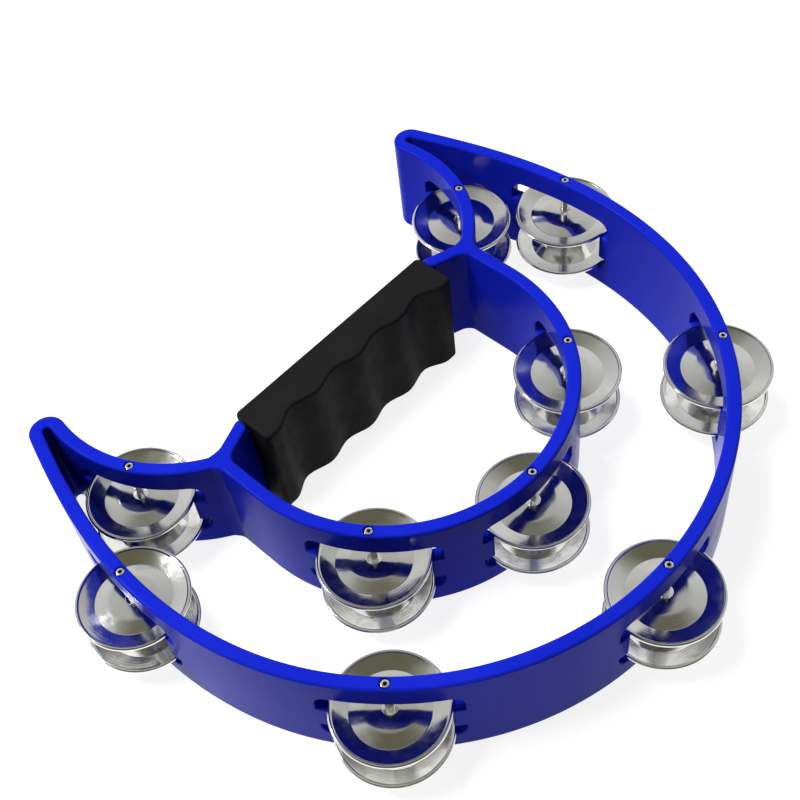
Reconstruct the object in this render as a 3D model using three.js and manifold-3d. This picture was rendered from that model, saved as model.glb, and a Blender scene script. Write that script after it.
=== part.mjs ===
// Half-moon tambourine with an outer hoop and an inner ring of jingles.
// Millimetres, +Z up. +X runs along the grip and -Y points at the crown of the outer hoop.
// The origin is under the middle of the outline, on the plane that the lower rims rest on.

import * as THREE from "three";
import { mergeVertices } from "three/addons/utils/BufferGeometryUtils.js";
import Module from "manifold-3d";

const wasm = await Module();
wasm.setup();

// Frame moulding. Plan positions are measured from the centre of the outer hoop.
const HEIGHT = 48; // from the lower rim to the upper rim
const WALL = 5.5; // thickness of every upright wall
const HOOP_R = 127; // outer radius at the crown, so the hoop is 254 mm across
const HOOP_ARC_END = 75; // degrees from the crown where the hoop stops being a true circle
const HORN_TIP_R = 7.2; // outer radius of the bend that turns the hoop into the web
const HORN_LEAN = 19.5; // degrees that the hoop leans in where it meets the tip
const HORN_HANDLE = 44; // how far the hoop keeps its direction at both ends of its side curve
const WEB_CENTRE = new THREE.Vector2(40.6, 79.2); // the web is the horn's curved inner wall
const WEB_R = 58.8; // to the middle of the web
const WEB_START = -61; // degrees, at the inner ring
const WEB_END = 9.9; // degrees, at the horn's tip
const RING_R = 72.1; // outer radius of the inner ring
const RING_Y = 4.8; // centre of the inner ring
const ARM_INNER = new THREE.Vector2(52.7, 33.8); // where the arm reaches the grip
const ARM_TRIM = { front: 15, back: 45 }; // the arms end square between these
const CORE_BAR = { halfLength: 53, front: 31.2, back: 36, bottom: 4, top: 44 };

// Grip sleeve over the core bar
const GRIP = { halfLength: 51.6, back: 39, bottom: 0.5, top: 48.6, cornerR: 1.2 };
const GROOVE = { count: 4, pitch: 23.3, y: 24.5, crestY: 21.9, endCrestY: 19.9 };
const FIT_GAP = 0.3; // between parts that touch

// Jingle slots and pins
const SLOT = { length: 50, bottom: 9.2, top: 37, cornerR: 5, cutDepth: 18 };
// A tab at each end of a slot parts the two jingles and carries the upper one by its rim.
const TABS = { apart: 41.2, bottom: 16, top: 27.8 };
const HOOP_PIN_PITCH = 107.7; // along the middle of the hoop
const RING_PIN_PITCH = 65.1; // along the middle of the ring
const WEB_PIN_ANGLE = -27; // degrees, round the web's centre
const PIN = { r: 1.6, boreR: 0.7, bottom: 0.3, top: 47.7 };

// Jingles: [radius, height] round the pressed section, from the hole out and back underneath.
// Height 0 is the middle of the rolled rim.
const JINGLE_R = 21.5;
const JINGLE_EDGE = 0.8; // half the thickness of the rolled rim
const CREASE_DEPTH = 2; // down to the underside of the crease
const JINGLE_SECTION = [
  [3, 0.3], [9.5, -0.25], [14.4, -1.4], [20, 0.4], [JINGLE_R, JINGLE_EDGE],
  [JINGLE_R, -JINGLE_EDGE], [20, -0.4], [14.4, -CREASE_DEPTH], [9.5, -0.9], [3, -0.3],
];
// The upper jingle's rim lies on the tabs, and the lower jingle's crease on the slot's sill.
const TAB_GAP = 0.4; // under the upper jingle's rim
const JINGLE_HEIGHTS = {
  upper: TABS.top + TAB_GAP + JINGLE_EDGE,
  lower: SLOT.bottom + FIT_GAP + CREASE_DEPTH,
};

// How finely round stretches are faceted
const JINGLE_SEGMENTS = 20;
const PIN_SEGMENTS = 10;
const ARC_STEPS = 32;
const SIDE_STEPS = 7;
const TIP_STEPS = 8;
const WEB_STEPS = 9;
const RING_STEPS = 24;

const HOOP_MID_R = HOOP_R - WALL / 2;
const RING_MID_R = RING_R - WALL / 2;
const TIP_MID_R = HORN_TIP_R - WALL / 2;
const HORN_TIP = onCircle(WEB_CENTRE, WEB_R + TIP_MID_R, WEB_END); // centre of the right tip
// The crown's jingles and the horns' tips are the ends of the outline along Y.
const HOOP_Y = (HOOP_MID_R + JINGLE_R - HORN_TIP.y - HORN_TIP_R) / 2;

const ORIGIN = new THREE.Vector2();

const MATERIALS = {
  plastic: { color: "#1620c8", roughness: 0.25, metalness: 0 },
  grip: { color: "#141414", roughness: 0.7, metalness: 0 },
  steel: { color: "#c9c9c6", roughness: 0.15, metalness: 1 },
  pin: { color: "#d8d8d8", roughness: 0.25, metalness: 1 },
};

const parts = new THREE.Group();
parts.position.y = HOOP_Y;

function addMesh(name, geometry, material) {
  const mesh = new THREE.Mesh(geometry, new THREE.MeshStandardMaterial(MATERIALS[material]));
  mesh.name = name;
  parts.add(mesh);
  return mesh;
}

function rad(degrees) {
  return THREE.MathUtils.degToRad(degrees);
}

function onCircle(centre, radius, degrees) {
  const angle = rad(degrees);
  return new THREE.Vector2(
    centre.x + radius * Math.cos(angle),
    centre.y + radius * Math.sin(angle),
  );
}

function mirrored(point) {
  return new THREE.Vector2(-point.x, point.y);
}

// Solids for joining and cutting

function toSolid(geometry) {
  const bare = geometry.clone();
  bare.deleteAttribute("normal");
  bare.deleteAttribute("uv");
  const merged = mergeVertices(bare, 1e-4);
  return new wasm.Manifold(new wasm.Mesh({
    numProp: 3,
    vertProperties: Float32Array.from(merged.attributes.position.array),
    triVerts: Uint32Array.from(merged.index.array),
  }));
}

function toGeometry(solid) {
  const { vertProperties, triVerts } = solid.getMesh();
  const geometry = new THREE.BufferGeometry();
  geometry.setAttribute("position", new THREE.BufferAttribute(vertProperties, 3));
  geometry.setIndex(new THREE.BufferAttribute(triVerts, 1));
  geometry.computeVertexNormals();
  return geometry;
}

function upright(shape, bottom, top, curveSegments = 12) {
  const geometry = new THREE.ExtrudeGeometry(shape, {
    depth: top - bottom,
    bevelEnabled: false,
    curveSegments,
  });
  return geometry.translate(0, 0, bottom);
}

function rectangle(x0, y0, x1, y1) {
  return new THREE.Shape([
    new THREE.Vector2(x0, y0),
    new THREE.Vector2(x1, y0),
    new THREE.Vector2(x1, y1),
    new THREE.Vector2(x0, y1),
  ]);
}

function post(centre, radius, bottom, top, segments) {
  const geometry = new THREE.CylinderGeometry(radius, radius, top - bottom, segments);
  geometry.rotateX(Math.PI / 2);
  return geometry.translate(centre.x, centre.y, (bottom + top) / 2);
}

// Middle lines of the walls, in plan. A line is a CurvePath whose curves hold their own steps.

function addCurve(line, steps, curve) {
  curve.steps = steps;
  line.add(curve);
}

// From the right web round the horn, along the hoop, and round the left horn to its web
function rimLine() {
  const arcEnd = onCircle(ORIGIN, HOOP_MID_R, HOOP_ARC_END - 90);
  const arcHandle = arcEnd.clone().addScaledVector(onCircle(ORIGIN, 1, HOOP_ARC_END), HORN_HANDLE);
  const tipEnd = onCircle(HORN_TIP, TIP_MID_R, HORN_LEAN);
  const tipHandle = tipEnd.clone()
    .addScaledVector(onCircle(ORIGIN, 1, HORN_LEAN + 90), -HORN_HANDLE);

  const line = new THREE.CurvePath();
  addCurve(line, WEB_STEPS, new THREE.EllipseCurve(
    WEB_CENTRE.x, WEB_CENTRE.y, WEB_R, WEB_R, rad(WEB_START), rad(WEB_END), false,
  ));
  addCurve(line, TIP_STEPS, new THREE.EllipseCurve(
    HORN_TIP.x, HORN_TIP.y, TIP_MID_R, TIP_MID_R, rad(WEB_END + 180), rad(HORN_LEAN), true,
  ));
  addCurve(line, SIDE_STEPS, new THREE.CubicBezierCurve(tipEnd, tipHandle, arcHandle, arcEnd));
  addCurve(line, ARC_STEPS, new THREE.EllipseCurve(
    0, 0, HOOP_MID_R, HOOP_MID_R, rad(HOOP_ARC_END - 90), rad(-HOOP_ARC_END - 90), true,
  ));
  addCurve(line, SIDE_STEPS, new THREE.CubicBezierCurve(
    mirrored(arcEnd), mirrored(arcHandle), mirrored(tipHandle), mirrored(tipEnd),
  ));
  addCurve(line, TIP_STEPS, new THREE.EllipseCurve(
    -HORN_TIP.x, HORN_TIP.y, TIP_MID_R, TIP_MID_R, rad(180 - HORN_LEAN), rad(-WEB_END), true,
  ));
  addCurve(line, WEB_STEPS, new THREE.EllipseCurve(
    -WEB_CENTRE.x, WEB_CENTRE.y, WEB_R, WEB_R, rad(180 - WEB_END), rad(180 - WEB_START), false,
  ));
  return line;
}

function ringLine(junction) {
  const right = new THREE.Vector2(RING_MID_R, RING_Y);
  const line = new THREE.CurvePath();
  addCurve(line, 2, new THREE.LineCurve(junction, right));
  addCurve(line, RING_STEPS, new THREE.EllipseCurve(
    0, RING_Y, RING_MID_R, RING_MID_R, 0, -Math.PI, true,
  ));
  addCurve(line, 2, new THREE.LineCurve(mirrored(right), mirrored(junction)));
  return line;
}

function armLine(junction, inner) {
  const line = new THREE.CurvePath();
  addCurve(line, 1, new THREE.LineCurve(junction, inner));
  return line;
}

// A wall of even thickness that follows a middle line
function wall(line) {
  const left = [];
  const right = [];
  line.curves.forEach((curve, index) => {
    // A curve starts where the one before it ended.
    for (let i = index === 0 ? 0 : 1; i <= curve.steps; i++) {
      const point = curve.getPointAt(i / curve.steps);
      const way = curve.getTangentAt(i / curve.steps);
      const side = new THREE.Vector2(-way.y, way.x).multiplyScalar(WALL / 2);
      left.push(point.clone().add(side));
      right.push(point.clone().sub(side));
    }
  });
  return toSolid(upright(new THREE.Shape([...left, ...right.reverse()]), 0, HEIGHT));
}

// Stations: where each pin stands, and the direction of the wall there

function stations(rim, ring) {
  const found = [];
  const along = (name, line, distance) => {
    const share = 0.5 + distance / line.getLength();
    found.push({ name, at: line.getPointAt(share), way: line.getTangentAt(share) });
  };
  along("hoop_crown", rim, 0);
  along("hoop_front_right", rim, -HOOP_PIN_PITCH);
  along("hoop_front_left", rim, HOOP_PIN_PITCH);
  along("hoop_rear_right", rim, -2 * HOOP_PIN_PITCH);
  along("hoop_rear_left", rim, 2 * HOOP_PIN_PITCH);
  along("ring_crown", ring, 0);
  along("ring_right", ring, -RING_PIN_PITCH);
  along("ring_left", ring, RING_PIN_PITCH);

  const web = rim.curves[0];
  const share = (WEB_PIN_ANGLE - WEB_START) / (WEB_END - WEB_START);
  const at = web.getPointAt(share);
  const way = web.getTangentAt(share);
  found.push({ name: "horn_right", at, way });
  found.push({ name: "horn_left", at: mirrored(at), way: mirrored(way) });
  return found;
}

// A window through the wall with rounded corners and a tab at each end, for a pair of jingles
function slotCutter({ at, way }) {
  const [half, inner, r] = [SLOT.length / 2, TABS.apart / 2, SLOT.cornerR];
  const shape = new THREE.Shape();
  shape.absarc(half - r, SLOT.top - r, r, 0, rad(90), false);
  shape.absarc(r - half, SLOT.top - r, r, rad(90), rad(180), false);
  for (const [x, z] of [[half, TABS.top], [inner, TABS.top], [inner, TABS.bottom], [half, TABS.bottom]]) {
    shape.lineTo(-x, z);
  }
  shape.absarc(r - half, SLOT.bottom + r, r, rad(180), rad(270), false);
  shape.absarc(half - r, SLOT.bottom + r, r, rad(270), rad(360), false);
  for (const [x, z] of [[half, TABS.bottom], [inner, TABS.bottom], [inner, TABS.top], [half, TABS.top]]) {
    shape.lineTo(x, z);
  }
  const settings = { depth: SLOT.cutDepth, bevelEnabled: false, curveSegments: 3 };
  const geometry = new THREE.ExtrudeGeometry(shape, settings);
  geometry.translate(0, 0, -SLOT.cutDepth / 2);
  geometry.rotateX(Math.PI / 2);
  geometry.rotateZ(Math.atan2(way.y, way.x));
  return toSolid(geometry.translate(at.x, at.y, 0));
}

function buildFrame(rim, ring, pinStations, junction) {
  let solid = wall(rim).add(wall(ring));
  for (const flip of [(point) => point, mirrored]) {
    const [outer, inner] = [flip(junction), flip(ARM_INNER)];
    solid = solid
      .add(wall(armLine(outer, inner)))
      .add(toSolid(post(outer, WALL / 2, 0, HEIGHT, 16)))
      .add(toSolid(post(inner, WALL / 2, 0, HEIGHT, 16)));
  }
  // The arms end square on the sleeve's ends.
  const sleeveRoom = GRIP.halfLength + FIT_GAP;
  const trim = rectangle(-sleeveRoom, ARM_TRIM.front, sleeveRoom, ARM_TRIM.back);
  const { halfLength, front, back, bottom, top } = CORE_BAR;
  solid = solid
    .subtract(toSolid(upright(trim, -1, HEIGHT + 1)))
    .add(toSolid(upright(rectangle(-halfLength, front, halfLength, back), bottom, top)));
  for (const station of pinStations) {
    solid = solid
      .subtract(slotCutter(station))
      .subtract(toSolid(post(station.at, PIN.r + FIT_GAP, -1, HEIGHT + 1, PIN_SEGMENTS)));
  }
  return toGeometry(solid);
}

// The sleeve has a flat back, and finger grooves along the front that run from top to bottom.
function gripOutline() {
  const { halfLength, back, cornerR } = GRIP;
  const grooveHalf = (GROOVE.count * GROOVE.pitch) / 2;
  const front = [];
  const pointsPerGroove = 8;
  for (let i = 0; i <= GROOVE.count * pointsPerGroove; i++) {
    const x = -grooveHalf + (i / pointsPerGroove) * GROOVE.pitch;
    const onCrest = (1 + Math.cos((2 * Math.PI * i) / pointsPerGroove)) / 2;
    const atEnd = Math.abs(x) > grooveHalf - GROOVE.pitch / 2;
    const crestY = atEnd ? GROOVE.endCrestY : GROOVE.crestY;
    front.push(new THREE.Vector2(x, GROOVE.y + (crestY - GROOVE.y) * onCrest));
  }
  const endY = GROOVE.endCrestY + cornerR;
  return new THREE.Shape([
    ...front,
    new THREE.Vector2(halfLength - cornerR, GROOVE.endCrestY),
    new THREE.Vector2(halfLength, endY),
    new THREE.Vector2(halfLength, back - cornerR),
    new THREE.Vector2(halfLength - cornerR, back),
    new THREE.Vector2(cornerR - halfLength, back),
    new THREE.Vector2(-halfLength, back - cornerR),
    new THREE.Vector2(-halfLength, endY),
    new THREE.Vector2(cornerR - halfLength, GROOVE.endCrestY),
  ]);
}

function buildGrip() {
  const body = toSolid(upright(gripOutline(), GRIP.bottom, GRIP.top));
  const { halfLength, front, back, bottom, top } = CORE_BAR;
  const pocket = rectangle(-halfLength, front - FIT_GAP, halfLength, back + FIT_GAP);
  return toGeometry(body.subtract(toSolid(upright(pocket, bottom - FIT_GAP, top + FIT_GAP))));
}

// A rolled tube, open at both ends
function pinGeometry() {
  const { r, boreR, bottom, top } = PIN;
  const section = [[boreR, bottom], [r, bottom], [r, top], [boreR, top], [boreR, bottom]];
  const points = section.map(([x, y]) => new THREE.Vector2(x, y));
  return new THREE.LatheGeometry(points, PIN_SEGMENTS).rotateX(Math.PI / 2);
}

function jingleGeometry() {
  const section = [...JINGLE_SECTION].reverse();
  const points = [...section, section[0]].map(([x, y]) => new THREE.Vector2(x, y));
  return new THREE.LatheGeometry(points, JINGLE_SEGMENTS).rotateX(Math.PI / 2);
}

const rim = rimLine();
const junction = rim.getPoint(0);
const ring = ringLine(junction);
const pinStations = stations(rim, ring);

addMesh("frame", buildFrame(rim, ring, pinStations, junction), "plastic");
addMesh("grip_sleeve", buildGrip(), "grip");

const pin = pinGeometry();
const jingle = jingleGeometry();
for (const { name, at } of pinStations) {
  addMesh(`pin_${name}`, pin, "pin").position.set(at.x, at.y, 0);
  for (const [level, height] of Object.entries(JINGLE_HEIGHTS)) {
    addMesh(`jingle_${level}_${name}`, jingle, "steel").position.set(at.x, at.y, height);
  }
}

const tambourine = new THREE.Group();
tambourine.name = "tambourine";
tambourine.add(parts);

export default tambourine;
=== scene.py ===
"""The looks of a half-moon tambourine: a moulded frame, a rubber grip, and chromed jingles on pins.

The part's lengths are in millimetres until a mesh is made, and the lamps and the floor are in metres.
Plan positions are measured from the centre of the hoop, with +X along the grip and -Y towards the crown.
"""

import math

import bmesh
import bpy
import numpy as np
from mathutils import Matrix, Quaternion, Vector


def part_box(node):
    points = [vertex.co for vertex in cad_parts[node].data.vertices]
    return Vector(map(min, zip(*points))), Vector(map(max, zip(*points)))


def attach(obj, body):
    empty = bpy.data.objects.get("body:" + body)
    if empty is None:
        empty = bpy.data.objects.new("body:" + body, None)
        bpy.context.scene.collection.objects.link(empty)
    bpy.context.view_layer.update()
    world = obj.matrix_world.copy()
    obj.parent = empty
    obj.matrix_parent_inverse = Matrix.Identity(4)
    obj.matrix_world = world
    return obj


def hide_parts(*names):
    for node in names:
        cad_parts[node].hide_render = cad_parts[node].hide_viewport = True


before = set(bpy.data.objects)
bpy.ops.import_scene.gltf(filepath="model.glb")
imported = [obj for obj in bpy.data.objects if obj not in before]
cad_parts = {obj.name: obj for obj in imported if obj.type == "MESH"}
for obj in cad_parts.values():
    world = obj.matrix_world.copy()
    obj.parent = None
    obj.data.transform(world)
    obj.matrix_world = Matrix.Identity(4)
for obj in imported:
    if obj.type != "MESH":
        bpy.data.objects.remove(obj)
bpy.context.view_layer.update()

MM = 0.001

# Frame moulding
HEIGHT = 48
WALL = 5.5
HOOP_R = 127
HOOP_ARC_END = 75  # degrees from the crown where the hoop stops being a true circle
HORN_TIP_R = 7.2
HORN_LEAN = 19.5  # degrees that the hoop leans in where it meets the tip
HORN_HANDLE = 44  # how far the hoop keeps its direction at both ends of its side curve
WEB_CENTRE = (40.6, 79.2)
WEB_R = 58.8
WEB_START = -61  # degrees, at the inner ring
WEB_END = 9.9  # degrees, at the horn's tip
RING_R = 72.1
RING_Y = 4.8
ARM_INNER = (52.7, 33.8)  # where the arm reaches the grip
ARM_OVERRUN = 1.4  # times the arm's length, so that its line runs on past where the grip's end cuts it
CORE_BAR = {"half_length": 53, "front": 31.2, "back": 36, "bottom": 4, "top": 44}
LIP_ROUNDING = 1.2  # radius along the rims' edges
CROTCH_BLEND = 3  # reach of the rounding where two walls meet
ARM_END_BLEND = 2.4

# Jingle slots and pin holes
SLOT = {"half_length": 25, "bottom": 9.2, "top": 37, "corner_r": 5, "rounding": 0.8}
# A tab at each end of a slot parts the two jingles and carries the upper one by its rim.
TABS = {"half_apart": 20.6, "bottom": 16, "top": 27.8, "corner_r": 0.4}
# How far the opening between the tabs reaches into the openings below and above them
REACH_BELOW = 3
REACH_ABOVE = 4
PIN_HOLE = {"r": 1.95, "chamfer": 0.3}
# A pin is rolled from sheet, which leaves a slit: wrap is how many degrees of it are closed.
PIN = {"r": 1.6, "bore_r": 0.75, "bottom": 0.3, "top": 47.7, "chamfer": 0.35, "wrap": 345}

# Grip sleeve
GRIP = {"half_length": 51.6, "back": 39, "bottom": 0.5, "top": 48.6}
GRIP_ROUNDING = 1.3
GRIP_CORNER_R = 2.2
GROOVE = {"count": 4, "pitch": 23.3, "y": 24.5, "crest_y": 21.9, "end_crest_y": 19.9}
POINTS_PER_GROOVE = 20
BACK_POINTS = 30
FIT_GAP = 0.3

# Jingles: (radius, height, bend radius) along the sheet, from the hole to the rolled rim
JINGLE_BENDS = [(3, 0, 0), (9, -0.45, 10), (14.4, -1.7, 1), (19.9, -0.1, 0)]
SHEET = 0.6
BEAD_R = 0.75
JINGLE_R = 21.5
JINGLE_EDGE = 0.8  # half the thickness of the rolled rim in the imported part

HOOP_MID_R = HOOP_R - WALL / 2
RING_MID_R = RING_R - WALL / 2
TIP_MID_R = HORN_TIP_R - WALL / 2


def node_centre(node):
    low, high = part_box(node)
    return (Vector(low) + Vector(high)) / 2 / MM


STATIONS = [node[len("pin_"):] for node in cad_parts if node.startswith("pin_")]
HOOP_Y = node_centre("pin_hoop_crown").y + HOOP_MID_R


# Curves in plan

def on_circle(centre, radius, degrees):
    angle = np.radians(degrees)
    return np.array(centre) + radius * np.stack((np.cos(angle), np.sin(angle)), axis=-1)


def arc(centre, radius, start, end, longest=1.0, widest=4.0):
    """Points round a circle from start to end in degrees.

    Neighbours are at most longest millimetres and widest degrees apart.
    """
    turn = abs(end - start)
    steps = math.ceil(max(math.radians(turn) * radius / longest, turn / widest))
    return on_circle(centre, radius, np.linspace(start, end, steps + 1))


def side_curve(arc_end, tip_end, steps=90):
    """The hoop from the end of its circle to the horn's tip, as a cubic curve."""
    arc_handle = arc_end + HORN_HANDLE * on_circle((0, 0), 1, HOOP_ARC_END)
    tip_handle = tip_end - HORN_HANDLE * on_circle((0, 0), 1, HORN_LEAN + 90)
    t = np.linspace(0, 1, steps + 1)[:, None]
    return (
        (1 - t) ** 3 * arc_end
        + 3 * t * (1 - t) ** 2 * arc_handle
        + 3 * t ** 2 * (1 - t) * tip_handle
        + t ** 3 * tip_end
    )


def joined(*curves):
    """One line from several that follow each other, without the doubled points."""
    return np.vstack([curves[0]] + [curve[1:] for curve in curves[1:]])


def right_rim():
    """From the crown along the hoop, round the horn's tip and along the web to the ring."""
    tip = on_circle(WEB_CENTRE, WEB_R + TIP_MID_R, WEB_END)
    hoop = arc((0, 0), HOOP_MID_R, -90, HOOP_ARC_END - 90)
    bend = arc(tip, TIP_MID_R, HORN_LEAN, WEB_END + 180)
    web = arc(WEB_CENTRE, WEB_R, WEB_END, WEB_START)
    return joined(hoop, side_curve(hoop[-1], bend[0]), bend, web)


def right_ring(junction):
    quarter = arc((0, RING_Y), RING_MID_R, -90, 0)
    return joined(quarter, np.linspace(quarter[-1], junction, 20))


RIM = right_rim()
RING = right_ring(RIM[-1])
ARM_WAY = np.array(ARM_INNER) - RIM[-1]
ARM = np.array([RIM[-1], RIM[-1] + ARM_OVERRUN * ARM_WAY])


class WallLine:
    """A wall's middle line on both sides, measured along from its crown, positive on the right."""

    def __init__(self, right):
        left = right[:0:-1] * (-1, 1)
        self.points = np.vstack((left, right))
        steps = np.linalg.norm(np.diff(self.points, axis=0), axis=1)
        along = np.concatenate(((0,), np.cumsum(steps)))
        self.along = along - along[len(left)]

    def at(self, along):
        x, y = self.points.T
        return np.stack((np.interp(along, self.along, x), np.interp(along, self.along, y)), axis=-1)

    def across(self, along, reach=1.0):
        """The direction across the wall."""
        way = self.at(along + reach) - self.at(along - reach)
        way /= np.linalg.norm(way, axis=-1, keepdims=True)
        return np.stack((way[..., 1], -way[..., 0]), axis=-1)

    def nearest(self, point):
        fine = np.arange(self.along[0], self.along[-1], 0.05)
        return fine[np.argmin(np.linalg.norm(self.at(fine) - point, axis=1))]


# The frame's outline, traced round a field that is negative inside the walls

def distance_to(points, line):
    start, way = line[:-1], np.diff(line, axis=0)
    offset = points[:, None] - start
    share = np.clip((offset * way).sum(-1) / (way * way).sum(-1), 0, 1)
    return np.linalg.norm(offset - share[..., None] * way, axis=-1).min(axis=1)


def blend_min(a, b, reach):
    """The smaller of two fields, rounded off where they are nearly equal."""
    near = np.maximum(reach - np.abs(a - b), 0)
    return np.minimum(a, b) - near ** 2 / (4 * reach)


def wall_field(points):
    """How far points in plan are outside the walls, in millimetres."""
    folded = np.stack((np.abs(points[:, 0]), points[:, 1]), axis=-1)
    rim, ring, arm = (distance_to(folded, line) - WALL / 2 for line in (RIM, RING, ARM))
    past_end = GRIP["half_length"] + FIT_GAP - folded[:, 0]
    arm = -blend_min(-arm, -past_end, ARM_END_BLEND)
    return blend_min(blend_min(rim, ring, CROTCH_BLEND), arm, CROTCH_BLEND)


def outward(point, reach=0.02):
    """The direction in which the field grows."""
    steps = reach * np.array([(1, 0), (-1, 0), (0, 1), (0, -1)])
    values = wall_field(point + steps)
    slope = np.array((values[0] - values[1], values[2] - values[3]))
    return slope / np.linalg.norm(slope)


def trace(start, turn, step=0.2):
    """Half an outline, from the middle plane to where it comes back there.

    turn is 1 with the material on the left, -1 with it on the right.
    """
    path = [np.array(start, dtype=float)]
    while len(path) < 3 or path[-1][0] > 0:
        across = outward(path[-1])
        point = path[-1] + step * turn * np.array((-across[1], across[0]))
        for _ in range(2):
            point = point - wall_field(point[None])[0] * outward(point)
        path.append(point)
    path[-1][0] = 0
    return np.array(path)


def thinned(path, longest=2.0, sharpest=math.radians(6)):
    """The path with only the points that its shape needs."""
    ways = np.diff(path, axis=0)
    along = np.concatenate(((0,), np.cumsum(np.linalg.norm(ways, axis=1))))
    headings = np.unwrap(np.arctan2(ways[:, 1], ways[:, 0]))
    kept = [0]
    for i in range(1, len(headings)):
        far = along[i] - along[kept[-1]] >= longest
        if far or abs(headings[i] - headings[kept[-1]]) >= sharpest:
            kept.append(i)
    if along[-1] - along[kept[-1]] < longest / 3:
        kept.pop()
    return path[kept + [len(path) - 1]]


def frame_outline(start_y, turn):
    """A whole outline as points and the directions out of the material."""
    right = thinned(trace((0, start_y), turn))
    ways = np.array([outward(point) for point in right])
    mirror = np.array((-1, 1))
    points = np.vstack((right, right[-2:0:-1] * mirror))
    return points, np.vstack((ways, ways[-2:0:-1] * mirror))


# Meshes

def finish_mesh(name, bm):
    """An object from millimetres round the hoop's centre."""
    bmesh.ops.recalc_face_normals(bm, faces=bm.faces)
    mesh = bpy.data.meshes.new(name)
    bm.to_mesh(mesh)
    bm.free()
    for vertex in mesh.vertices:
        vertex.co = vertex.co * MM
    piece = bpy.data.objects.new(name, mesh)
    bpy.context.scene.collection.objects.link(piece)
    return piece


def stitch(rings, closed_ways=True):
    """Quads between neighbouring rings of vertices."""
    return [
        (one[i - 1], one[i], other[i], other[i - 1])
        for one, other in zip(rings, rings[1:])
        for i in range(0 if closed_ways else 1, len(one))
    ]


def rounded_levels(bottom, top, rounding, steps=5):
    """(inset, height) from the lower face to the upper one, with both edges rounded."""
    lower = [
        (rounding * (1 - math.sin(angle)), bottom + rounding * (1 - math.cos(angle)))
        for angle in np.linspace(0, math.pi / 2, steps + 1)
    ]
    return lower + [(inset, bottom + top - height) for inset, height in reversed(lower)]


def slab(name, outlines, levels):
    """An upright solid between flat ends. The first outline may hold others that are open inside."""
    bm = bmesh.new()
    rims = ([], [])
    for points, ways in outlines:
        rings = [
            [bm.verts.new((*place, height)) for place in points - inset * ways]
            for inset, height in levels
        ]
        for quad in stitch(rings):
            bm.faces.new(quad)
        for rim, ring in zip(rims, (rings[0], rings[-1])):
            rim += [bm.edges.get((ring[i - 1], ring[i])) for i in range(len(ring))]
    for rim in rims:
        bmesh.ops.triangle_fill(bm, edges=rim, use_beauty=True)
    return finish_mesh(name, bm)


def box_solid(name, low, high):
    (x0, y0, z0), (x1, y1, z1) = low, high
    corners = np.array([(x0, y0), (x1, y0), (x1, y1), (x0, y1)])
    no_inset = np.zeros_like(corners)
    return slab(name, [(corners, no_inset)], [(0, z0), (0, z1)])


def disc_outline(centre, radius, segments=32):
    ways = on_circle((0, 0), 1, np.arange(segments) * 360 / segments)
    return np.array(centre) + radius * ways, ways


def bake_modifiers(piece):
    depsgraph = bpy.context.evaluated_depsgraph_get()
    mesh = bpy.data.meshes.new_from_object(piece.evaluated_get(depsgraph))
    piece.modifiers.clear()
    piece.data = mesh


def combine(piece, tool, operation):
    """Joins the tool to the piece, or cuts it out, and removes the tool."""
    boolean = piece.modifiers.new("combine", "BOOLEAN")
    boolean.operation = operation
    boolean.solver = "EXACT"
    boolean.object = tool
    bake_modifiers(piece)
    bpy.data.objects.remove(tool)


def shade_smooth(piece, sharp_degrees=40):
    """Smooth shading that keeps real edges crisp and flat faces flat."""
    bm = bmesh.new()
    bm.from_mesh(piece.data)
    for face in bm.faces:
        face.smooth = True
    for edge in bm.edges:
        edge.smooth = edge.calc_face_angle(math.pi) < math.radians(sharp_degrees)
    bm.to_mesh(piece.data)
    bm.free()
    weighted = piece.modifiers.new("weighted_normals", "WEIGHTED_NORMAL")
    weighted.keep_sharp = True
    bake_modifiers(piece)


# The frame

def slot_windows():
    """(half length, bottom, top, corner radius) of the windows that make up a slot."""
    half, radius = SLOT["half_length"], SLOT["corner_r"]
    below_tabs = (half, SLOT["bottom"], TABS["bottom"], radius)
    above_tabs = (half, TABS["top"], SLOT["top"], radius)
    low, high = TABS["bottom"] - REACH_BELOW, TABS["top"] + REACH_ABOVE
    between_tabs = (TABS["half_apart"], low, high, TABS["corner_r"])
    return [below_tabs, above_tabs, between_tabs]


def window_columns(window, grown):
    """A window's outline on the wall: places along it, and the edges below and above each."""
    half, bottom, top, radius = window
    radius, half = radius + grown, half + grown
    quarter = np.linspace(0, math.pi / 2, 9)
    corner = half - radius + radius * np.cos(quarter)
    straight = np.linspace(half - radius, radius - half, 25)[1:-1]
    along = np.concatenate((corner, straight, -corner[::-1]))
    corner_rise = radius * (1 - np.sin(quarter))
    rise = np.concatenate((corner_rise, np.zeros_like(straight), corner_rise[::-1]))
    # Along a tab the corners are cut short, because a tab is flat right up to the slot's end.
    rise_at_tab = np.minimum(rise, TABS["corner_r"])
    below = rise_at_tab if bottom == TABS["top"] else rise
    above = rise_at_tab if top == TABS["bottom"] else rise
    return along, bottom - grown + below, top + grown - above


def slot_layers():
    """(distance from the wall's middle, growth of the outline), for edges rounded on both faces."""
    rounding = SLOT["rounding"]
    widest = math.radians(75)  # how far round the quarter circle goes before it runs out straight
    past_face, clear = 0.05, 2.5
    half = [
        (WALL / 2 - rounding * (1 - math.sin(angle)), rounding * (1 - math.cos(angle)))
        for angle in np.linspace(0, widest, 6)
    ]
    edge, grown = half[-1]
    grown += (WALL / 2 + past_face - edge) * math.tan(widest)
    half += [(WALL / 2 + past_face, grown), (WALL / 2 + clear, grown)]
    return [(-across, grown) for across, grown in reversed(half)] + half


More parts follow.
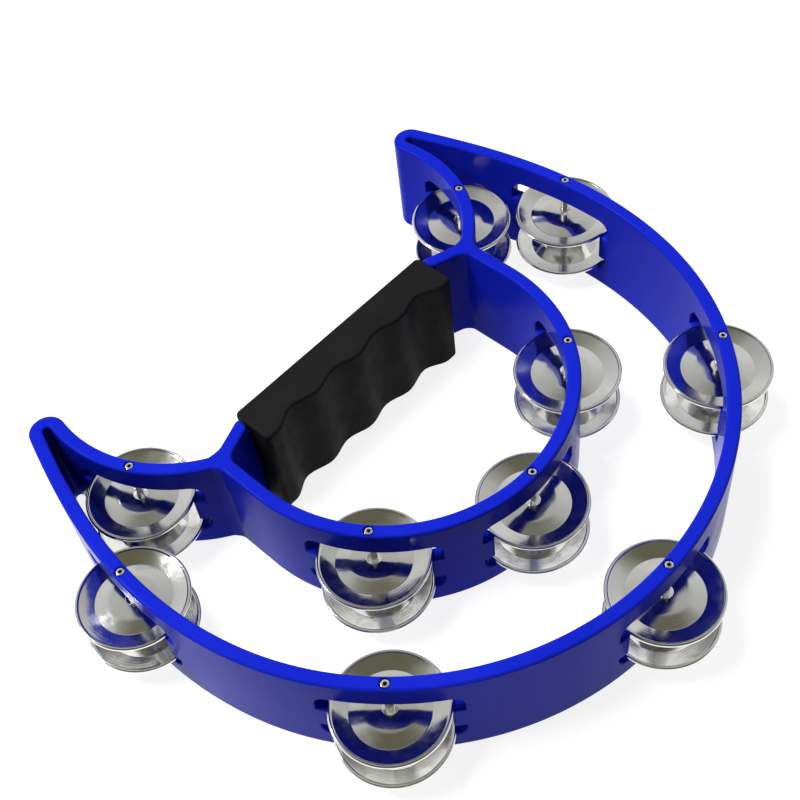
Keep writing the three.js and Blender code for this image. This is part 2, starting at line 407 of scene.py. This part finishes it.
def window_cutter(line, middle, window):
    """A window that follows the wall's curve."""
    bm = bmesh.new()
    rings = []
    for across, grown in slot_layers():
        along, low, high = window_columns(window, grown)
        plan = line.at(middle + along) + across * line.across(middle + along)
        lower = [bm.verts.new((*place, height)) for place, height in zip(plan, low)]
        upper = [bm.verts.new((*place, height)) for place, height in zip(plan, high)]
        rings.append(lower + upper[::-1])
    for ring in (rings[0], rings[-1]):
        columns = len(ring) // 2
        lower, upper = ring[:columns], ring[:columns - 1:-1]
        for quad in stitch([lower, upper], closed_ways=False):
            bm.faces.new(quad)
    for quad in stitch(rings):
        bm.faces.new(quad)
    return finish_mesh("window_cutter", bm)


def pin_hole_cutter(place):
    """A hole from face to face with a small chamfer at both ends."""
    chamfer, clear = PIN_HOLE["chamfer"], 1
    flare = -chamfer - clear
    levels = [(flare, -clear), (0, chamfer), (0, HEIGHT - chamfer), (flare, HEIGHT + clear)]
    return slab("pin_hole_cutter", [disc_outline(place, PIN_HOLE["r"])], levels)


def build_frame():
    outer = frame_outline(-HOOP_R, 1)
    crescent = frame_outline(WALL - HOOP_R, -1)
    piece = slab("moulded_frame", [outer, crescent], rounded_levels(0, HEIGHT, LIP_ROUNDING))
    bar = CORE_BAR
    low = (-bar["half_length"], bar["front"], bar["bottom"])
    high = (bar["half_length"], bar["back"], bar["top"])
    combine(piece, box_solid("core_bar", low, high), "UNION")
    lines = {"ring": WallLine(RING), "rim": WallLine(RIM)}
    for station in STATIONS:
        line = lines["ring" if station.startswith("ring") else "rim"]
        place = np.array(node_centre("pin_" + station).xy) - (0, HOOP_Y)
        for window in slot_windows():
            combine(piece, window_cutter(line, line.nearest(place), window), "DIFFERENCE")
        combine(piece, pin_hole_cutter(place), "DIFFERENCE")
    shade_smooth(piece, sharp_degrees=35)
    piece.location.y = HOOP_Y * MM
    return piece


# The grip

def grip_outline():
    """A flat back, round corners, and finger grooves along the front that run from top to bottom."""
    half, back, radius = GRIP["half_length"], GRIP["back"], GRIP_CORNER_R
    groove_half = GROOVE["count"] * GROOVE["pitch"] / 2
    x = np.linspace(-groove_half, groove_half, GROOVE["count"] * POINTS_PER_GROOVE + 1)
    on_crest = (1 + np.cos(2 * np.pi * (x + groove_half) / GROOVE["pitch"])) / 2
    at_end = np.abs(x) > groove_half - GROOVE["pitch"] / 2
    crest_y = np.where(at_end, GROOVE["end_crest_y"], GROOVE["crest_y"])
    front = np.stack((x, GROOVE["y"] + (crest_y - GROOVE["y"]) * on_crest), axis=-1)
    front_corner = (half - radius, GROOVE["end_crest_y"] + radius)
    back_corner = (half - radius, back - radius)
    right = [
        arc(front_corner, radius, -90, 0, widest=10),
        arc(back_corner, radius, 0, 90, widest=10),
    ]
    left = [corner[::-1] * (-1, 1) for corner in reversed(right)]
    flat_back = np.linspace(right[-1][-1], left[0][0], BACK_POINTS)[1:-1]
    points = np.vstack([front, *right, flat_back, *left])
    ways = np.roll(points, -1, axis=0) - np.roll(points, 1, axis=0)
    ways /= np.linalg.norm(ways, axis=1, keepdims=True)
    return points, np.stack((ways[:, 1], -ways[:, 0]), axis=-1)


def build_grip():
    levels = rounded_levels(GRIP["bottom"], GRIP["top"], GRIP_ROUNDING)
    piece = slab("rubber_sleeve", [grip_outline()], levels)
    bar = CORE_BAR
    low = (-bar["half_length"], bar["front"] - FIT_GAP, bar["bottom"] - FIT_GAP)
    high = (bar["half_length"], bar["back"] + FIT_GAP, bar["top"] + FIT_GAP)
    combine(piece, box_solid("pocket", low, high), "DIFFERENCE")
    shade_smooth(piece)
    piece.location.y = HOOP_Y * MM
    return piece


# Jingles and pins

def bent_line(bends):
    """A line through corners, each rounded by its own radius."""
    points = [np.array(bends[0][:2], dtype=float)]
    for before, (x, y, radius), after in zip(bends, bends[1:], bends[2:]):
        corner = np.array((x, y))
        into = corner - before[:2]
        out = np.array(after[:2]) - corner
        into /= np.linalg.norm(into)
        out /= np.linalg.norm(out)
        turn = math.acos(np.dot(into, out))
        setback = radius * math.tan(turn / 2)
        bisector = (out - into) / np.linalg.norm(out - into)
        centre = corner + bisector * radius / math.cos(turn / 2)
        for share in np.linspace(0, 1, 7):
            spoke = (corner - into * setback - centre) * math.sin((1 - share) * turn)
            spoke = spoke + (corner + out * setback - centre) * math.sin(share * turn)
            points.append(centre + spoke / math.sin(turn))
    points.append(np.array(bends[-1][:2], dtype=float))
    return np.array(points)


def jingle_section():
    """The closed section of the sheet with its rolled rim: along the top, round the rim and back."""
    middle = bent_line(JINGLE_BENDS)
    ways = np.gradient(middle, axis=0)
    ways /= np.linalg.norm(ways, axis=1, keepdims=True)
    across = SHEET / 2 * np.stack((-ways[:, 1], ways[:, 0]), axis=-1)
    bead = on_circle((JINGLE_R - BEAD_R, 0), BEAD_R, np.linspace(140, -160, 16))
    hole = on_circle(middle[0], SHEET / 2, (225, 180, 135))
    return np.vstack((middle + across, bead, (middle - across)[::-1], hole))


def lathe(name, section, segments, sweep=360):
    """A closed section turned about Z. Less than a full turn leaves a slit with flat sides."""
    bm = bmesh.new()
    full = sweep == 360
    angles = np.radians(np.arange(segments) * sweep / (segments if full else segments - 1))
    rings = [
        [bm.verts.new((r * math.cos(angle), r * math.sin(angle), z)) for r, z in section]
        for angle in angles
    ]
    for quad in stitch(rings + rings[:1] if full else rings):
        bm.faces.new(quad)
    if not full:
        bm.faces.new(rings[0])
        bm.faces.new(rings[-1])
    return finish_mesh(name, bm)


def pin_section():
    """The pin's wall, with a rounded edge at both ends."""
    bore, r, chamfer = PIN["bore_r"], PIN["r"], PIN["chamfer"]
    low, high = PIN["bottom"], PIN["top"]
    cut = chamfer * 0.3  # how far the middle of the rounded edge is from both faces
    return [
        (bore, low), (r - chamfer, low), (r - cut, low + cut), (r, low + chamfer),
        (r, high - chamfer), (r - cut, high - cut), (r - chamfer, high), (bore, high),
    ]


def copy_to(pattern, name, x, y, z=0):
    """Another object with the pattern's mesh, at a place in millimetres in the part's frame."""
    piece = bpy.data.objects.new(name, pattern.data)
    bpy.context.scene.collection.objects.link(piece)
    piece.location = Vector((x, y, z)) * MM
    return piece


def build_jingles(material):
    pattern = lathe("jingle_pattern", jingle_section(), segments=96)
    shade_smooth(pattern)
    pattern.data.materials.append(material)
    quarter_turns = np.random.default_rng(7)
    for station in STATIONS:
        for level in ("upper", "lower"):
            node = f"jingle_{level}_{station}"
            place = node_centre(node)
            rim_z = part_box(node)[1][2] / MM - JINGLE_EDGE
            piece = copy_to(pattern, "chromed_" + node, place.x, place.y, rim_z)
            piece.rotation_euler.z = quarter_turns.integers(4) * math.pi / 2
            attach(piece, node)
            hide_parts(node)
    bpy.data.objects.remove(pattern)


def build_pins(material):
    pattern = lathe("pin_pattern", pin_section(), segments=40, sweep=PIN["wrap"])
    shade_smooth(pattern)
    pattern.data.materials.append(material)
    spin = np.random.default_rng(11)
    for station in STATIONS:
        node = "pin_" + station
        place = node_centre(node)
        piece = copy_to(pattern, "rolled_" + node, place.x, place.y)
        piece.rotation_euler.z = spin.uniform(0, 2 * math.pi)
        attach(piece, "root")
        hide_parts(node)
    bpy.data.objects.remove(pattern)


# Materials

def give(tree, socket, value):
    """Sets an input to a value, or links it to another node's output."""
    if isinstance(value, bpy.types.NodeSocket):
        tree.links.new(value, socket)
    else:
        socket.default_value = value


def add_node(tree, kind, settings=None, **inputs):
    """A node with its settings and its inputs, each a value or another node's output."""
    made = tree.nodes.new("ShaderNode" + kind)
    for name, value in (settings or {}).items():
        setattr(made, name, value)
    for name, value in inputs.items():
        give(tree, made.inputs[name.replace("_", " ")], value)
    return made


def new_material(name, **values):
    material = bpy.data.materials.new(name)
    material.use_nodes = True
    tree = material.node_tree
    shader = tree.nodes["Principled BSDF"]
    for socket, value in values.items():
        shader.inputs[socket.replace("_", " ")].default_value = value
    place = add_node(tree, "TexCoord").outputs["Object"]
    return material, tree, shader, place


def noise(tree, place, scale, detail=3.0, roughness=0.5):
    """Cloudy noise between 0 and 1, with about scale features to a metre."""
    made = add_node(tree, "TexNoise", Vector=place, Scale=scale, Detail=detail, Roughness=roughness)
    return made.outputs["Fac"]


def remap(tree, value, given, wanted):
    """The value moved from one (low, high) range to another, and kept inside it."""
    made = add_node(
        tree, "MapRange", Value=value,
        From_Min=given[0], From_Max=given[1], To_Min=wanted[0], To_Max=wanted[1],
    )
    return made.outputs["Result"]


def mix_colours(tree, factor, one, other):
    """A blend of two colours, each (red, green, blue, 1) or another node's output."""
    made = add_node(tree, "Mix", {"data_type": "RGBA"})
    factor_in, one_in, other_in = made.inputs[0], made.inputs[6], made.inputs[7]
    for socket, value in ((factor_in, factor), (one_in, one), (other_in, other)):
        give(tree, socket, value)
    return made.outputs[2]


def math_node(tree, operation, one, other):
    made = add_node(tree, "Math", {"operation": operation})
    for socket, value in zip(made.inputs, (one, other)):
        give(tree, socket, value)
    return made.outputs[0]


def bump(tree, shader, *heights):
    """Small relief: pairs of a height and its depth in millimetres, added up."""
    normal = None
    for height, depth in heights:
        made = add_node(tree, "Bump", Height=height, Strength=1.0, Distance=depth * MM)
        if normal:
            tree.links.new(normal, made.inputs["Normal"])
        normal = made.outputs["Normal"]
    tree.links.new(normal, shader.inputs["Normal"])


def plastic_material():
    material, tree, shader, place = new_material("gloss_blue_plastic", Specular_IOR_Level=0.025)
    clouds = noise(tree, place, 18)
    scuffs = noise(tree, place, 900, detail=6, roughness=0.7)
    colour = mix_colours(tree, clouds, (0.002, 0.006, 0.22, 1), (0.005, 0.012, 0.31, 1))
    tree.links.new(colour, shader.inputs["Base Color"])
    # The two rims are worn duller than the walls.
    height = add_node(tree, "SeparateXYZ", Vector=place).outputs["Z"]
    half, worn_depth = HEIGHT / 2 * MM, 2 * MM
    from_middle = math_node(tree, "ABSOLUTE", math_node(tree, "SUBTRACT", height, half), 0.0)
    on_lip = remap(tree, from_middle, (half - worn_depth, half), (0.0, 1.0))
    scuffed = remap(tree, scuffs, (0.5, 0.75), (0.0, 1.0))
    worn = math_node(tree, "MULTIPLY", on_lip, scuffed)
    unworn = remap(tree, noise(tree, place, 60), (0.3, 0.7), (0.16, 0.26))
    roughness = math_node(tree, "ADD", unworn, math_node(tree, "MULTIPLY", worn, 0.2))
    tree.links.new(roughness, shader.inputs["Roughness"])
    bump(tree, shader, (noise(tree, place, 140, detail=2), 0.06), (scuffs, 0.004))
    return material


def rubber_material():
    material, tree, shader, place = new_material("black_rubber", Specular_IOR_Level=0.06)
    dust = noise(tree, place, 60, detail=5)
    colour = mix_colours(tree, dust, (0.004, 0.004, 0.004, 1), (0.008, 0.008, 0.008, 1))
    tree.links.new(colour, shader.inputs["Base Color"])
    roughness = remap(tree, noise(tree, place, 150, detail=4), (0.3, 0.7), (0.5, 0.62))
    tree.links.new(roughness, shader.inputs["Roughness"])
    grain = add_node(tree, "TexVoronoi", Vector=place, Scale=1500.0).outputs["Distance"]
    bump(tree, shader, (grain, 0.08), (noise(tree, place, 250, detail=4), 0.1))
    return material


def chrome_material():
    material, tree, shader, centred = new_material("chromed_steel", Metallic=1.0)
    # Each jingle takes its flaws from its own part of the noise.
    shift = add_node(tree, "ObjectInfo").outputs["Random"]
    shifted = add_node(tree, "VectorMath", {"operation": "ADD"}, Vector=centred)
    give(tree, shifted.inputs[1], shift)
    place = shifted.outputs["Vector"]
    tarnish = noise(tree, place, 120, detail=4)
    colour = mix_colours(tree, tarnish, (0.74, 0.735, 0.71, 1), (0.83, 0.83, 0.81, 1))
    tree.links.new(colour, shader.inputs["Base Color"])
    spinning = add_node(
        tree, "TexWave", {"wave_type": "RINGS", "rings_direction": "Z"},
        Vector=centred, Scale=260.0, Distortion=1.5, Detail=3.0, Detail_Scale=4.0,
    ).outputs["Fac"]
    smears = noise(tree, place, 300, detail=5, roughness=0.65)
    roughness = remap(tree, smears, (0.3, 0.75), (0.07, 0.2))
    tree.links.new(roughness, shader.inputs["Roughness"])
    bump(tree, shader, (noise(tree, place, 90, detail=1), 0.25), (spinning, 0.0025))
    return material


def pin_material():
    material, tree, shader, place = new_material("brushed_steel", Metallic=1.0)
    stains = noise(tree, place, 500, detail=3)
    colour = mix_colours(tree, stains, (0.80, 0.80, 0.79, 1), (0.92, 0.92, 0.92, 1))
    tree.links.new(colour, shader.inputs["Base Color"])
    stretched = add_node(tree, "Mapping", Vector=place, Scale=(1, 1, 0.05)).outputs["Vector"]
    strokes = noise(tree, stretched, 6000, detail=3)
    tree.links.new(remap(tree, strokes, (0.3, 0.7), (0.18, 0.34)), shader.inputs["Roughness"])
    bump(tree, shader, (strokes, 0.004))
    return material


def floor_material():
    material, tree, shader, place = new_material("floor_paper", Roughness=0.9)
    shader.inputs["Emission Color"].default_value = (1, 1, 1, 1)
    shader.inputs["Emission Strength"].default_value = 0.84
    fibres = noise(tree, place, 8)
    colour = mix_colours(tree, fibres, (0.21, 0.21, 0.21, 1), (0.23, 0.23, 0.23, 1))
    tree.links.new(colour, shader.inputs["Base Color"])
    return material


# Camera, light and floor

def add_camera():
    """The view from over the front left, with a slight roll, as the picture was taken."""
    azimuth, elevation, roll = math.radians(-40.55), math.radians(52.37), math.radians(8.27)
    target, distance = Vector((5.43, 32.73, 24)) * MM, 533.8 * MM
    forward = Vector((
        -math.sin(azimuth) * math.cos(elevation),
        math.cos(azimuth) * math.cos(elevation),
        -math.sin(elevation),
    ))
    camera = bpy.data.objects.new("camera", bpy.data.cameras.new("camera"))
    camera.data.lens = 60
    camera.data.sensor_width = 36
    camera.data.clip_start = 0.01
    camera.location = target - distance * forward
    camera.rotation_mode = "QUATERNION"
    camera.rotation_quaternion = forward.to_track_quat("-Z", "Y") @ Quaternion((0, 0, 1), -roll)
    bpy.context.scene.collection.objects.link(camera)
    bpy.context.scene.camera = camera


def add_area_light(name, place, size, power, in_reflections=True):
    """An oval lamp that points at the part's origin."""
    light = bpy.data.lights.new(name, "AREA")
    light.shape = "ELLIPSE"
    light.size, light.size_y = size
    light.energy = power
    lamp = bpy.data.objects.new(name, light)
    lamp.visible_glossy = in_reflections
    lamp.location = place
    lamp.rotation_mode = "QUATERNION"
    lamp.rotation_quaternion = (-Vector(place)).to_track_quat("-Z", "Y")
    bpy.context.scene.collection.objects.link(lamp)


def add_world():
    """A grey studio, brightest half way up, with a dark room over the front left.

    A ramp over the height gives the studio, and the angle from one direction gives the room.
    """
    horizon, half_way_up = (0.35, 0.35, 0.35, 1), (0.8, 0.8, 0.8, 1)
    overhead = (0.42, 0.42, 0.40, 1)
    room, room_way = (0.15, 0.145, 0.095, 1), Vector((-0.45, -0.5, 0.74))
    outside_room, inside_room = 0.48, 0.72  # cosines of the angle from the room's direction
    world = bpy.data.worlds.new("studio")
    world.use_nodes = True
    bpy.context.scene.world = world
    tree = world.node_tree
    background = tree.nodes["Background"]
    direction = add_node(tree, "TexCoord").outputs["Generated"]
    height = add_node(tree, "SeparateXYZ", Vector=direction).outputs["Z"]
    ramp = add_node(tree, "ValToRGB", Fac=height)
    elements = ramp.color_ramp.elements
    elements[0].position, elements[0].color = 0.0, horizon
    elements[1].position, elements[1].color = 1.0, overhead
    elements.new(0.5).color = half_way_up
    towards = add_node(tree, "VectorMath", {"operation": "DOT_PRODUCT"}, Vector=direction)
    give(tree, towards.inputs[1], room_way.normalized())
    in_room = remap(tree, towards.outputs["Value"], (outside_room, inside_room), (0.0, 1.0))
    sky = mix_colours(tree, in_room, ramp.outputs["Color"], room)
    tree.links.new(sky, background.inputs["Color"])
    background.inputs["Strength"].default_value = 0.9


def add_floor():
    half = 3.0  # metres
    mesh = bpy.data.meshes.new("floor")
    corners = [(-half, -half, 0), (half, -half, 0), (half, half, 0), (-half, half, 0)]
    mesh.from_pydata(corners, [], [(0, 1, 2, 3)])
    mesh.materials.append(floor_material())
    floor = bpy.data.objects.new("floor", mesh)
    bpy.context.scene.collection.objects.link(floor)


# The whole part in its studio

def add_single_piece(piece, node, material):
    """Dresses a piece that stands for one node of the fixed body."""
    piece.data.materials.clear()
    piece.data.materials.append(material)
    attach(piece, "root")
    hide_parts(node)


bpy.context.scene.view_settings.view_transform = "Standard"
add_camera()
add_world()
add_floor()
add_area_light("key", (-0.3, 0.5, 1.4), size=(0.9, 0.7), power=46, in_reflections=False)
add_area_light("spark", (-0.6, 0.7, 0.9), size=(0.16, 0.1), power=7)

add_single_piece(build_frame(), "frame", plastic_material())
add_single_piece(build_grip(), "grip_sleeve", rubber_material())
build_pins(pin_material())
build_jingles(chrome_material())
